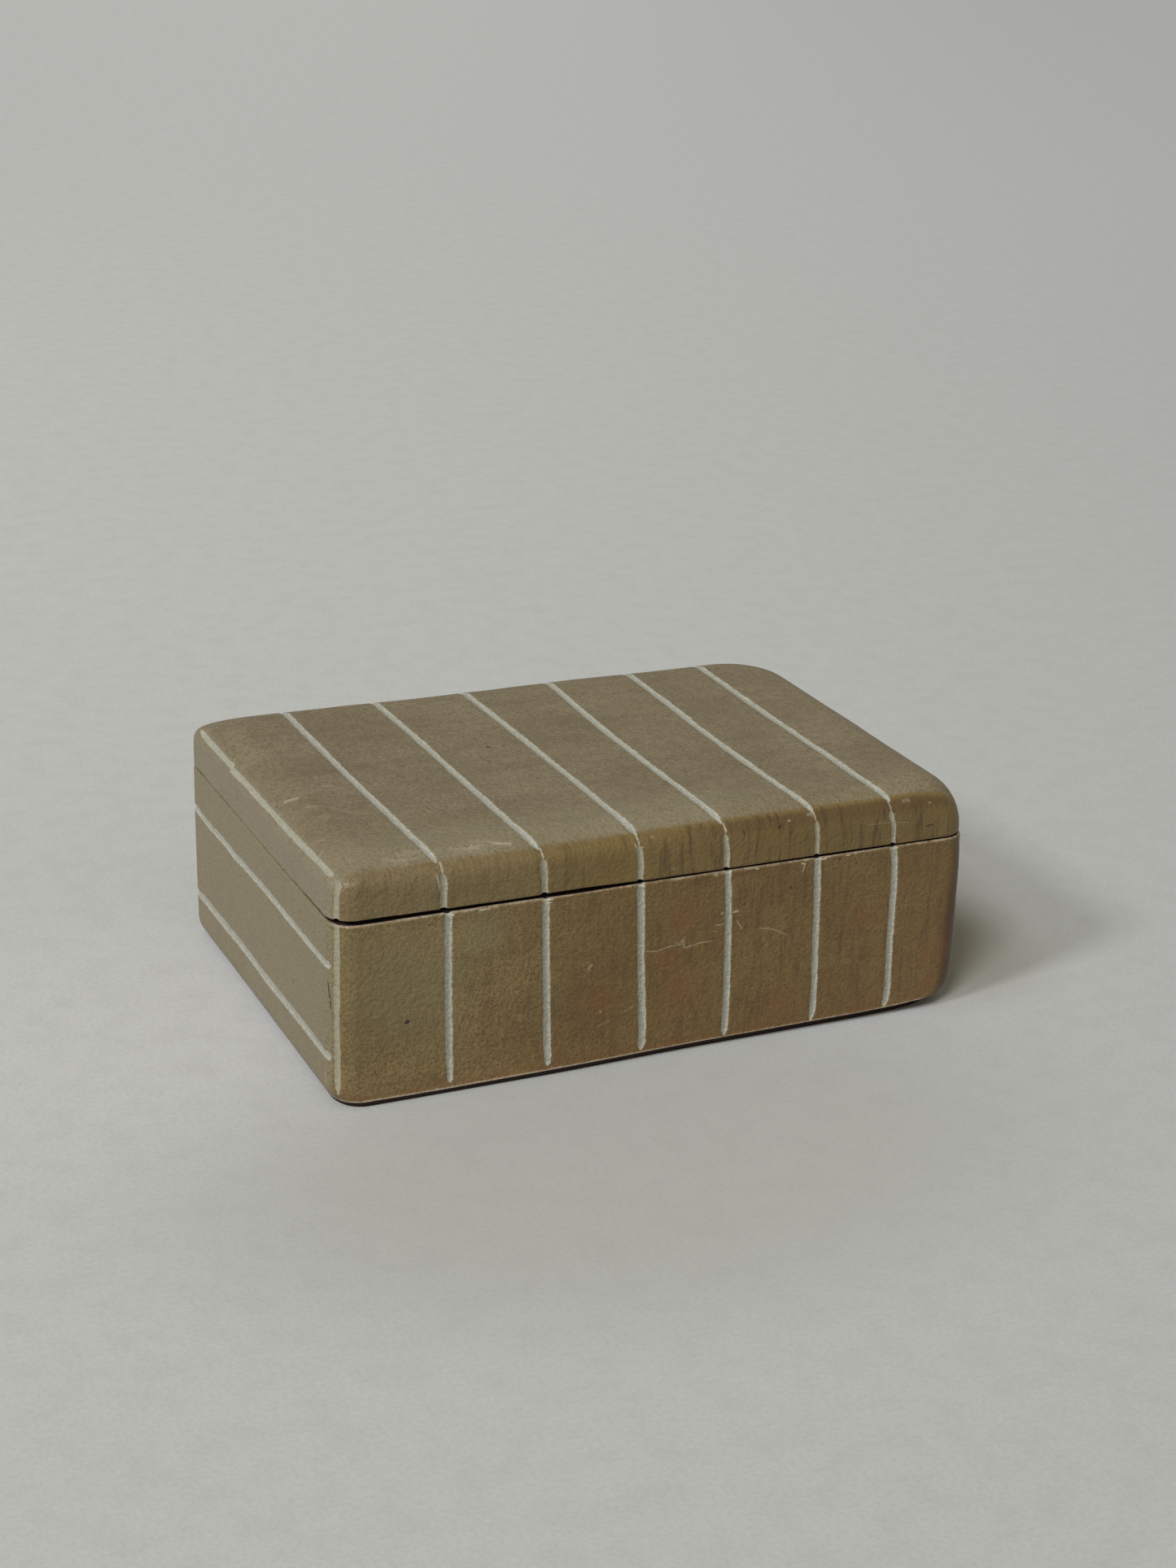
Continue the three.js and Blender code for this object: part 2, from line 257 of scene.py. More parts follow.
LID_SCRATCHES = [
    (0.2, 0.3, -3.1, 43.6, -2.8, 43.6), (0.2, 0.5, 1.1, 37.4, 1.3, 37.3),
    (0.18, 0.5, 24.5, 43.2, 24.9, 43.3), (0.24, 0.3, 48.9, 43.7, 50.3, 43.8),
    (0.2, 0.5, 54.5, 42.8, 54.8, 42.8), (0.2, 0.6, 28.7, 43.7, 29.4, 43.8),
    (0.12, 0.25, 41.1, 40.4, 46.1, 40.4), (0.12, 0.3, 47.6, 40.1, 49.6, 39.9),
    (0.22, 1, -43.35, 42.9, -43.4, 44.2), (0.2, 1, -24.4, 42.9, -24.5, 44.2),
    (0.2, 1, -5.8, 42.9, -5.9, 44.2), (0.2, 1, 11.6, 42.9, 11.5, 44.3), (0.2, 1, 30.1, 42.9, 30, 44.3),
    (0.18, 0.8, 46, 42.9, 45.9, 44.2), (0.2, 0.8, -44.5, 42.4, -44, 40.1, -43.6, 39),
    (0.18, 0.8, -6.5, 42.9, -6.1, 41.9),
]
LID_PITS = [
    (0.14, 0.7, 15.2, 42.6, 15.4, 41.9), (0.22, 0.8, 22.5, 42.4, 22.6, 42.4),
    (0.17, 0.8, 54, 38.5, 55.2, 38.6), (0.24, 0.8, 4.2, 44.6, 4.3, 44.6),
]
TOP_PITS = [(0.34, 1, -15.9, 4.7, -15.8, 4.7)]

# The marks by face: the axis that the face looks along, where it begins, and its scratches, chips and pits
BASE_MARKS = [
    (1, -38, (FRONT_SCRATCHES, RIM_CHIPS, FRONT_PITS)),
    (0, -61.5, (LEFT_SCRATCHES, [], LEFT_CRACKS)),
]
LID_MARKS = [
    (1, -40.6, (LID_SCRATCHES, [], LID_PITS)),
    (2, 43.4, (TOP_SCRATCHES, [], TOP_PITS)),
]

# Unevenness of the outer faces as swell, size of the lumps and shift of the noise, and that of the inside
UNEVEN = ((0.13, 17.0, 0.0), (0.05, 6.0, 0.4), (0.018, 2.2, 0.7))
INSIDE_ROUGH = 0.05
INSIDE_LUMPS = 4.0

NOISE_SEED = 5
NOISE_CELLS = 32
lattice = np.random.default_rng(NOISE_SEED).random((NOISE_CELLS,) * 3) * 2 - 1


def noise(places, size, shift=0.0):
    """Smooth noise from -1 to 1, with lumps of a size in millimetres."""
    spots = places / size + shift
    cells = np.floor(spots).astype(int)
    parts = spots - cells
    parts = parts * parts * (3 - 2 * parts)
    total = np.zeros(len(places))
    for corner in np.ndindex(2, 2, 2):
        steps = corner[::-1]
        weights = np.where(steps, parts, 1 - parts).prod(axis=1)
        index = (cells + steps) % len(lattice)
        total += weights * lattice[index[:, 0], index[:, 1], index[:, 2]]
    return total


def smooth(values, low, high):
    """Smooth step from 0 at low to 1 at high."""
    part = np.clip((values - low) / (high - low), 0, 1)
    return part * part * (3 - 2 * part)


def graded(start, stop, marks=(), reach=0, fine=FINE_STEP, coarse=COARSE_STEP):
    """Positions from start to stop, close together within reach of the marks."""
    positions = [start]
    while positions[-1] < stop:
        gap = min((abs(positions[-1] - mark) for mark in marks), default=FAR) - reach
        positions.append(positions[-1] + min(coarse, max(fine, fine + gap * STEP_GROWTH)))
    scale = (stop - start) / (positions[-1] - start)
    return [start + (position - start) * scale for position in positions]


def quarter(height, reach, rise):
    """How far a quarter round has closed in at a height above its narrow end."""
    to_go = max(0, 1 - height / rise)
    return reach * (1 - math.sqrt(1 - to_go * to_go))


def quarter_turns(steps):
    """Sine and cosine of each turn from 0 to a quarter circle."""
    return [(math.sin(turn), math.cos(turn)) for turn in np.linspace(0, math.pi / 2, steps + 1)]


def softened(points, rounds=2):
    """Points of a line with its corners cut, its two ends kept."""
    points = np.array(points, float)
    for _ in range(rounds):
        before, after = points[:-1], points[1:]
        cut = np.stack([before * 0.75 + after * 0.25, before * 0.25 + after * 0.75], axis=1)
        points = np.concatenate([points[:1], cut.reshape(-1, points.shape[1])[1:-1], points[-1:]])
    return points


def along_line(points, places):
    """Points at shares of a line's length."""
    travel = np.append(0, np.cumsum(np.linalg.norm(np.diff(points, axis=0), axis=1)))
    return np.stack([np.interp(np.array(places) * travel[-1], travel, column) for column in points.T], axis=1)


TIGHT_CURVE = softened(TIGHT_EDGE, 3)
WIDE_CURVE = [TOP_REACH, TOP_DROP] * (1 - np.array(quarter_turns(9))[:, ::-1])


class Outline:
    """A rounded rectangle whose points keep their order and number while its size changes.

    Its sides run from the middle of a corner to the middle of the next: front, right, back, left. Where a
    corner grows, only the ends of the straight part are squeezed. A long corner is finer in its middle.
    """

    SQUEEZED = 6.0
    CORNER_GRADING = 1.35
    GRADED_LENGTH = 8.0

    def __init__(self, across, along, corner_steps):
        across, along = np.array(across), np.array(along)
        self.spans = [across, along, -across[::-1], -along[::-1]]
        self.corner_steps = corner_steps
        self.counts = [len(span) + 2 * corner_steps - 1 for span in self.spans]

    def corner(self, reach, radius):
        """Points from the middle of a corner to the straight part: places from the corner, and depths."""
        arc = radius * math.pi / 4
        length = arc + reach - radius
        grading = min(max(length / self.GRADED_LENGTH, 1.0), self.CORNER_GRADING)
        travel = length * np.linspace(0, 1, self.corner_steps, endpoint=False) ** grading
        angle = np.maximum(math.pi / 4 - travel / radius, 0)
        places = radius * (1 - np.sin(angle)) + np.maximum(travel - arc, 0)
        return places, radius * (1 - np.cos(angle))

    def side(self, span, half, radius, next_radius):
        """Places along a side and depths behind its line, up to the next side's first point."""
        ends = [max(span[0], radius - half), min(span[-1], half - next_radius)]
        kept = [span[0] + self.SQUEEZED, span[-1] - self.SQUEEZED]
        span = np.interp(span, [span[0], *kept, span[-1]], [ends[0], *kept, ends[1]])
        first, first_depth = self.corner(span[0] + half, radius)
        last, last_depth = self.corner(half - span[-1], next_radius)
        places = np.concatenate([first - half, span, half - last[:0:-1]])
        depths = np.concatenate([first_depth, np.zeros(len(span)), last_depth[:0:-1]])
        return places, depths

    def ring(self, inset, radii):
        """The outline's points, counter-clockwise from the front left corner.

        The inset is one number, or one for the two ends and one for the two long sides.
        """
        half_x, half_y = np.array([HALF_X, HALF_Y]) - inset
        points = []
        for number, (turn_x, turn_y) in enumerate([(1, 0), (0, 1), (-1, 0), (0, -1)]):
            half, wall = (half_x, half_y) if turn_x else (half_y, half_x)
            places, depths = self.side(self.spans[number], half, radii[number], radii[(number + 1) % 4])
            out = wall - depths
            points.append(np.transpose([turn_x * places + turn_y * out, turn_y * places - turn_x * out]))
        return np.concatenate(points)

    def thinned(self):
        """Which of the outline's points a sparser ring keeps, and how many it has on each side."""
        kept, start = [], 0
        counts = [count // SPARSER for count in self.counts]
        for count, fewer in zip(self.counts, counts):
            kept.append(start + np.round(np.linspace(0, count, fewer, endpoint=False)).astype(int))
            start += count
        return np.concatenate(kept), counts


class Skin:
    """Collects the points, faces and surface values of one closed stone piece, ring by ring."""

    def __init__(self, outline):
        self.outline = outline
        self.kept, self.sparse_counts = outline.thinned()
        self.points = np.zeros((0, 3))
        self.wear_and_highlight = np.zeros(0)
        # raw is 1 for bare stone and below 0 for painted shade in the open seam and under the foot's lip
        self.raw = np.zeros(0)
        self.rings = []
        self.faces = []

    def add(self, points, wear_and_highlight=FAR, raw=0.0):
        start = len(self.points)
        self.points = np.concatenate([self.points, points])
        self.wear_and_highlight = np.append(self.wear_and_highlight, np.broadcast_to(wear_and_highlight, len(points)))
        self.raw = np.append(self.raw, np.broadcast_to(raw, len(points)))
        return np.arange(start, len(self.points))

    def ring(self, z, inset, radii, wear_and_highlight=FAR, raw=0.0, sparse=False):
        """Adds the outline at a height, or at a height for each of its points."""
        flat = self.outline.ring(inset, radii)
        points = np.column_stack([flat, np.broadcast_to(z, len(flat))])
        self.rings.append(self.add(points[self.kept] if sparse else points, wear_and_highlight, raw))

    def inside(self, z, inset, radii):
        """Adds a sparser outline of bare stone."""
        self.ring(z, inset, radii, raw=1, sparse=True)

    def close(self, top_raw):
        """Adds the faces between the rings, and fills the last ring and the first."""
        for lower, upper in zip(self.rings, self.rings[1:]):
            if len(lower) == len(upper):
                quads = [lower, np.roll(lower, -1), np.roll(upper, -1), upper]
                self.faces += np.transpose(quads).tolist()
            else:
                self.join(lower, upper)
        self.patch(self.rings[-1], True, top_raw)
        self.patch(self.rings[0], False, 1)

    def join(self, lower, upper):
        """Faces between a dense ring and the sparse ring that keeps some of its points."""
        dense, sparse = (lower, upper) if len(lower) > len(upper) else (upper, lower)
        closed = np.append(dense, dense[0])
        ends = np.append(self.kept[1:], len(dense))
        for start, end, here, ahead in zip(self.kept, ends, sparse.tolist(), np.roll(sparse, -1).tolist()):
            along = closed[start:end + 1].tolist()
            self.faces.append(along + [ahead, here] if dense is lower else [here, ahead] + along[::-1])

    def patch(self, ring, face_up, raw):
        """Fills a ring with a grid whose four borders are the ring's four sides."""
        counts = self.outline.counts if len(ring) == sum(self.outline.counts) else self.sparse_counts
        corners = np.cumsum([0] + counts)
        closed = np.append(ring, ring[0])
        front, right, back, left = (closed[start:end + 1] for start, end in zip(corners, corners[1:]))
        back, left = back[::-1], left[::-1]
        u = shares(self.points[front], self.points[back], 0)[:, None, None]
        v = shares(self.points[left], self.points[right], 1)[None, :, None]
        fronts, backs = self.points[front][:, None], self.points[back][:, None]
        grid = (1 - v) * fronts + v * backs + (1 - u) * self.points[left][None] + u * self.points[right][None]
        grid -= (1 - u) * ((1 - v) * fronts[:1] + v * backs[:1])
        grid -= u * ((1 - v) * fronts[-1:] + v * backs[-1:])
        index = np.zeros(grid.shape[:2], int)
        index[1:-1, 1:-1].flat = self.add(grid[1:-1, 1:-1].reshape(-1, 3), raw=raw)
        index[:, 0], index[:, -1], index[0], index[-1] = front, back, left, right
        quads = np.stack([index[:-1, :-1], index[1:, :-1], index[1:, 1:], index[:-1, 1:]], axis=-1)
        quads = quads.reshape(-1, 4)
        self.faces += (quads if face_up else quads[:, ::-1]).tolist()


def shares(first, second, axis):
    """Places along an axis as shares, for two borders that face each other."""
    middle = (first[:, axis] + second[:, axis]) / 2
    return (middle - middle[0]) / (middle[-1] - middle[0])


def seam_opening(flat):
    """How far the seam stands open round the outline: wide at the front left, closed on the left."""
    x, y = flat.T
    front = SEAM_FRONT_LEFT + (SEAM_FRONT_RIGHT - SEAM_FRONT_LEFT) * smooth(x, -HALF_X, HALF_X / 2)
    opening = front + (SEAM_BACK - front) * smooth(y, 3 - HALF_Y, HALF_Y)
    left = smooth(-x, HALF_X - 2.4, HALF_X - 0.3) * smooth(y, 1 - HALF_Y, 6 - HALF_Y)
    opening += (SEAM_LEFT * (1 + smooth(-y, -10, 38)) - opening) * left
    wobble = noise(np.column_stack([flat, np.zeros(len(flat))]), 3.1, 0.3)
    return opening * (1 + (SEAM_UNEVEN + SEAM_UNEVEN_LEFT * left) * wobble)


def base_radii(z):
    to_foot = 1 - z / BASE_TOP
    below_rim = smooth(to_foot, 0.0, WALL_LOSS_SHARE)
    return BASE_RADII + FOOT_GAINS * to_foot ** FOOT_POWERS - WALL_LOSSES * below_rim


def base_skin():
    """The base: undercut foot, outer wall, worn rim, hollow and floor."""
    across = graded(*STRAIGHT_X, FRONT_STEPS, GROOVE_REACH)
    skin = Skin(Outline(across, graded(*STRAIGHT_Y), BASE_CORNER_STEPS))
    full = skin.outline.ring(0, BASE_RADII)

    # Foot, with painted shade in its undercut: the wall under the lip is coloured near black where shade
    # falls, and the edge has a pale line of wear and painted highlight
    skin.inside(0, SOLE_INSET, base_radii(0) - SOLE_RADIUS_LOSS)
    edge_height, deeper = (np.interp(full[:, 0], *np.array(FOOT_EDGE)[:, [0, column]].T) for column in (1, 2))
    edge_inset = quarter(FOOT_EDGE_HEIGHT, FOOT_REACH_ENDS, FOOT_RISE_ENDS)
    for share in FOOT_SHARES:
        under = 1 - share ** 3
        inset = (edge_inset + FOOT_UNDERCUT * under, FOOT_UNDERCUT * under)
        raw = -1 if share < 0.9 else 0
        skin.ring(edge_height * share, inset, base_radii(0), wear_and_highlight=(1 - share) * 3, raw=raw)
        skin.points[skin.rings[-1], 1] *= 1 - deeper * under / HALF_Y

    # Outer wall, with a pale band above the foot, wear and a painted highlight, that gets narrower to the
    # right
    pace = 1.15 + 0.45 * smooth(full[:, 0], -40, 30)
    for z in graded(FOOT_EDGE_HEIGHT, WALL_TOP, WALL_LEVELS, LEVEL_REACH)[1:]:
        above = z - FOOT_EDGE_HEIGHT
        heights = z - (FOOT_EDGE_HEIGHT - edge_height) * smooth(-above, -5, 0)
        lip = FOOT_LIP * smooth(above, 0.0, FOOT_LIP_RISE)
        inset = (quarter(z, FOOT_REACH_ENDS, FOOT_RISE_ENDS), lip)
        skin.ring(heights, inset, base_radii(z), wear_and_highlight=above * pace - 0.16)

    # Rim, worn round on its outer edge, less so at the back, and nearly flat up to the hollow. The rounding's
    # pale band is wear and a painted highlight, and just inside it painted shade stands in for the open seam.
    rim = SEAM_MIDDLE - seam_opening(full) / 2
    sound = 0.3 * smooth(full[:, 1], 2 - HALF_Y, 5 - HALF_Y)
    skin.ring(rim - RIM_SHOULDER, (0, FOOT_LIP / 2), BASE_RADII, wear_and_highlight=0.5)
    for sine, cosine in quarter_turns(5):
        inset = RIM_RADIUS * (1 - cosine)
        wear_and_highlight = 0.12 + 0.2 * (1 - sine) + sound
        skin.ring(rim - RIM_RADIUS * (1 - sine), inset, BASE_RADII - inset, wear_and_highlight=wear_and_highlight)
    # Painted shade: the rim just inside the seam is coloured near black where the gap is in shade
    for inset, raw in RIM_SHADE:
        skin.ring(rim, inset, BASE_RADII - inset / 4, wear_and_highlight=inset, raw=raw)
    for share in (0.4, 0.7, 1.0):
        inset = SHADE_REACH + (WALL - CAVITY_LIP - SHADE_REACH) * share
        radii = BASE_RADII + (CAVITY_RADIUS - BASE_RADII) * share
        skin.ring(rim + (BASE_TOP - rim) * share, inset, radii, raw=share, sparse=share > 0.4)

    # Hollow
    cavity = np.full(4, CAVITY_RADIUS)
    for sine, cosine in quarter_turns(3)[1:]:
        skin.inside(BASE_TOP - CAVITY_LIP * (1 - cosine), WALL - CAVITY_LIP * (1 - sine), cavity)
    for z in np.linspace(BASE_TOP - CAVITY_LIP, FLOOR + CAVITY_FLOOR_RADIUS, 24)[1:]:
        skin.inside(z, WALL, cavity)
    for sine, cosine in quarter_turns(8)[1:]:
        ease = CAVITY_FLOOR_RADIUS * (1 - cosine)
        skin.inside(FLOOR + CAVITY_FLOOR_RADIUS * (1 - sine), WALL + ease, cavity - ease * 0.9)
    x, y, z = skin.points.T
    skin.points[:, 1] -= FOOT_FORWARD_LEFT * smooth(-z, -9, -1) * smooth(-x, -8, 25) * smooth(-y, 38, 41)
    skin.close(top_raw=1)
    return skin


def edge_ring(outline, inset, drop):
    """A ring of the lid's rounded upper edge."""
    flat = outline.ring(inset, LID_RADII - TOP_CORNER_LOSS * inset / TOP_REACH)
    return np.column_stack([flat, np.full(len(flat), LID_TOP - drop)])


def lid_skin():
    """The lid: a step underneath, the seat, a short upright edge, a rounding and a flat top."""
    across = graded(*STRAIGHT_X, LID_STEPS, GROOVE_REACH)
    skin = Skin(Outline(across, graded(*STRAIGHT_Y, coarse=LID_SIDE_STEP), LID_CORNER_STEPS))
    full = skin.outline.ring(0, LID_RADII)
    seat = SEAM_MIDDLE + seam_opening(full) / 2
    seat_inside = SEAM_MIDDLE + HALF_GAP

    # Step under the lid
    plug = np.full(4, CAVITY_RADIUS - PLUG_CLEARANCE)
    skin.inside(PLUG_BOTTOM, PLUG_INSET + 3 * PLUG_EDGE, plug - 1.5)
    for sine, cosine in quarter_turns(4):
        ease = PLUG_EDGE * (1 - sine)
        skin.inside(PLUG_BOTTOM + PLUG_EDGE * (1 - cosine), PLUG_INSET + ease, plug - ease)
    for z in (34.0, 34.9, seat_inside - PLUG_FILLET):
        skin.inside(z, PLUG_INSET, plug)
    skin.inside(seat_inside, PLUG_INSET - PLUG_FILLET, plug)

    # Seat, lower edge and upright edge, with painted shade where the seam stands open and on the lowest part
    # of the lower edge, which also has a pale band of wear and painted highlight
    for inset in (3.5, 1.6, 0.8):
        share = inset / PLUG_INSET
        radii = LID_RADII + (CAVITY_RADIUS - LID_RADII) * share
        skin.ring(seat + (seat_inside - seat) * share, inset, radii, raw=-1 if inset < 2 else 0.4)
    for sine, cosine in quarter_turns(3):
        inset = LID_EDGE_RADIUS * (1 - sine)
        z = seat + LID_EDGE_RADIUS * (1 - cosine)
        skin.ring(z, inset, LID_RADII - inset, wear_and_highlight=0.25 + 0.2 * sine, raw=sine - 1)
    skin.ring((seat + LID_EDGE_RADIUS + (LID_TOP - TOP_DROP)) / 2, 0, LID_RADII, wear_and_highlight=0.45)

    # Rounded upper edge, its rings closer together where the left edge's groove runs
    levels = graded(0, 1, [EDGE_SHARE], 0.09, 0.017, 0.055)
    right = smooth(full[:, 0], 50, 62)[:, None]
    for tight, wide in zip(along_line(TIGHT_CURVE, levels), along_line(WIDE_CURVE, levels)):
        tight, wide = edge_ring(skin.outline, *tight), edge_ring(skin.outline, *wide)
        skin.rings.append(skin.add(tight + (wide - tight) * right))
    skin.close(top_raw=0)
    return skin


def lid_height(y):
    """Height of the lid's surface between its ends."""
    return LID_TOP - np.interp(HALF_Y - abs(y), TIGHT_CURVE[:, 0], TIGHT_CURVE[:, 1])


def lid_inset(z):
    """How far the rounded edge lies behind the side at a height."""
    return np.interp(z - LID_TOP, -TIGHT_CURVE[:, 1], TIGHT_CURVE[:, 0])


def corner_point(z, lean):
    """Middle of the front left corner at a height on the base or the lid, moved left by a lean."""
    inset = lid_inset(z)
    radius = base_radii(min(z, BASE_TOP))[0] - TOP_CORNER_LOSS[0] * inset / TOP_REACH
    turn = math.pi / 4 + lean / radius
    middle = inset + radius
    x = -HALF_X + middle - radius * math.sin(turn)
    return x, -HALF_Y + middle - radius * math.cos(turn), z


def groove(points, side, half_width, tapers, tint=0.0):
    """A groove along a line. A taper is the stretch over which that end narrows, and the tint is left dye."""
    return softened(points), np.array(side), half_width, tapers, tint


def lid_grooves():
    lines = []
    for run in TOP_GROOVES:
        across, back = np.array(run)[::-1].T
        levels = TOP_LEVELS + list(np.linspace(HOOK_START, back[0], HOOK_LEVELS))
        points = [(np.interp(y, back, across), y, lid_height(y)) for y in levels]
        lines.append(groove(points, (1, 0, 0), TOP_HALF_WIDTH, tapers=(0.8, 2.6)))
    for low_x, tip_x, half_width in LID_FRONT_GROOVES:
        for sign in (-1, 1):
            run = [(low_x, 34.5), (low_x, 37.0), (low_x, 39.5), (tip_x, 41.7), (tip_x, 42.6)]
            points = [(x, sign * (HALF_Y - lid_inset(z)), z) for x, z in run]
            lines.append(groove(points, (1, 0, 0), half_width, tapers=(0, 0.7), tint=0.4))
    edge = [(lid_inset(LID_TOP - drop) - HALF_X, y, LID_TOP - drop) for y, drop in EDGE_GROOVE]
    lines.append(groove(edge, (0.7, 0, 0.7), EDGE_HALF_WIDTH, tapers=(2.0, 0.7), tint=0.25))
    corner = [corner_point(z, lean) for z, lean in LID_CORNER_GROOVE]
    lines.append(groove(corner, (0.7, -0.7, 0), CORNER_HALF_WIDTH, tapers=(0, 0.5), tint=0.6))
    return lines


def base_grooves():
    lines = []
    for run in BASE_FRONT_GROOVES:
        for sign in (-1, 1):
            points = [(x, sign * HALF_Y, z) for x, z in [(run[0][0], 37), *run]]
            lines.append(groove(points, (1, 0, 0), FRONT_HALF_WIDTH, tapers=(0, 1.3)))
    for run, half_width in zip(END_GROOVES, END_HALF_WIDTHS):
        for sign in (-1, 1):
            points = []
            for y, z in run:
                front_radius, back_radius = base_radii(z)[[0, 3] if sign < 0 else [1, 2]]
                y = min(y, HALF_Y - back_radius * 0.2)
                radius = front_radius if y < 0 else back_radius
                points.append((sign * (HALF_X - quarter(HALF_Y - abs(y), radius, radius)), y, z))
            lines.append(groove(points, (0, 0, 1), half_width, tapers=(0.6, 0.6)))
    corner = [corner_point(z, lean) for z, lean in BASE_CORNER_GROOVE]
    lines.append(groove(corner, (0.7, -0.7, 0), CORNER_HALF_WIDTH, tapers=(0, 2.0), tint=0.6))
    return lines


def near_line(points, line, aside):
    """Distance of points to a line, how far along it they lie, on which side, and its length."""
    best = np.full(len(points), FAR)
    along = np.zeros(len(points))
    side = np.zeros(len(points))
    travelled = 0.0
    for start, end in zip(line, line[1:]):
        run = end - start
        length = np.linalg.norm(run)
        share = np.clip((points - start) @ run / (length * length), 0, 1)
        off = points - start - share[:, None] * run
        distance = np.linalg.norm(off, axis=1)
        closer = distance < best
        best = np.where(closer, distance, best)
        along = np.where(closer, travelled + share * length, along)
        side = np.where(closer, np.sign(off @ aside), side)
        travelled += length
    return best, along, side, travelled


def carve(points, lines):
    """Groove values for each point: distance outside a groove's edge, place in it, depth and tint."""
    outside = np.full(len(points), FAR)
    track = np.zeros((len(points), 3))
    depth = np.zeros(len(points))
    tint = np.zeros(len(points))
    for number, (line, aside, half_width, tapers, left_dye) in enumerate(lines):
        low, high = line.min(axis=0) - GROOVE_MARGIN, line.max(axis=0) + GROOVE_MARGIN
        near = np.flatnonzero(((points > low) & (points < high)).all(axis=1))
        distance, along, side, length = near_line(points[near], line, aside)
        wobble = np.column_stack([along, np.full(len(along), number * 7.3), np.zeros(len(along))])
        half = half_width * (1 + 0.09 * noise(wobble, 6.0) + 0.07 * noise(wobble, 1.7))
        for taper, travel in zip(tapers, (along, length - along)):
            if taper:
                half = half * np.sqrt(np.clip(travel / taper, 0, 1) * 0.97 + 0.03)
        gap = distance - half
        profile = np.clip(1 - (distance / np.maximum(half, 0.05)) ** 2, 0, 1) ** 0.5
        better = gap < outside[near]
        chosen = near[better]
        outside[chosen] = gap[better]
        track[chosen] = np.column_stack([distance * side, along, np.full(len(along), number)])[better]
        tint[chosen] = left_dye
        cut = GROOVE_DEPTH * profile * (1 + 0.2 * noise(wobble, 4.0, 0.5))
        depth[near] = np.maximum(depth[near], cut * np.minimum(1, half / half_width))
    return outside, track, depth, tint


def near_marks(points, faces):
    """Values of the nearest mark for each point: place across and along it and distance, and its strength."""
    values = np.full((len(points), 3), FAR)
    tones = np.zeros((len(points), 3))
    for axis, limit, tables in faces:
        on_face = np.flatnonzero(points[:, axis] < limit if limit < 0 else points[:, axis] > limit)
        flat = np.delete(points[on_face], axis, axis=1)
        for tone, table in enumerate(tables):
            for half_width, strength, *corners in table:
                corners = np.reshape(corners, (-1, 2))
                for start, end in zip(corners, corners[1:]):
                    length = np.linalg.norm(end - start)
                    run = (end - start) / length
                    along = (flat - start) @ run
                    across = (flat - start) @ np.array([-run[1], run[0]])
                    distance = np.hypot(across, np.maximum(np.maximum(-along, along - length), 0))
                    better = distance < values[on_face, 2]
                    chosen = on_face[better]
                    reach = length / 2 + half_width
                    values[chosen] = np.column_stack([
                        across / half_width, (along - length / 2) / reach, distance,
                    ])[better]
                    tones[chosen] = np.eye(3)[tone] * strength
    return values, tones


def stain_and_light_values(points):
    """Red and green stains, painted sheen on the lid, and how deep the dye is, with painted shade and sheen.
    """
    x, y, z = points.T
    lidward = smooth(z, BASE_TOP, BASE_TOP + 0.5)
    forward = smooth(-y, HALF_Y - 3.2, HALF_Y - 1.2)
    backward = smooth(y, HALF_Y - 3.2, HALF_Y - 1.2)
    rightward = smooth(x, HALF_X - 4.5, HALF_X - 1.5)
    edgeward = np.maximum(forward, lidward * np.maximum(backward, rightward))
    leftward = smooth(-x, HALF_X - 3, HALF_X - 0.5) * (1 - edgeward)

    front = smooth(-y, HALF_Y - 5, HALF_Y - 4)
    red, green = (
        np.max([smooth(-np.hypot(x - mid_x, z - mid_z), -reach, 0) for mid_x, mid_z, reach in table], axis=0)
        for table in (RED_STAINS, GREEN_STAINS)
    )
    low = 0.7 * smooth(-z, -5, -0.5)
    right = 0.12 * smooth(x, 50, 57) * smooth(-x, -63, -59)
    red = np.max([red, low, right], axis=0)
    # Painted sheen: the front part of the lid's top is paler, fading towards the back and the right
    painted_sheen = lidward * smooth(-y, 22, 37) * (1 - forward) * (1 - 0.85 * smooth(x, 0, 45))

    # Deeper dye on the front faces and the lid's rounded edges; its growth towards the right is painted
    # shade, and the paler dye on the left end is a painted sheen
    dye_and_painted_light = (0.55 * lidward + (1 - 0.55 * lidward) * smooth(x, -56, 8)) * edgeward - leftward
    # Painted shade on the lid's front: darker towards the right and on its upper rounding
    dye_and_painted_light += lidward * forward * (0.3 * smooth(x, 0, 40) + 0.7 * smooth(z, 41, 43.5) * smooth(x, -20, 20))
    # Painted shade on the base's right end, darkest below mid height
    dye_and_painted_light += (1 - lidward) * smooth(x, 57, 63) * (1.2 + 0.8 * smooth(-z, -30, -18))
    return np.column_stack([red * front, green * front + painted_sheen, dye_and_painted_light])


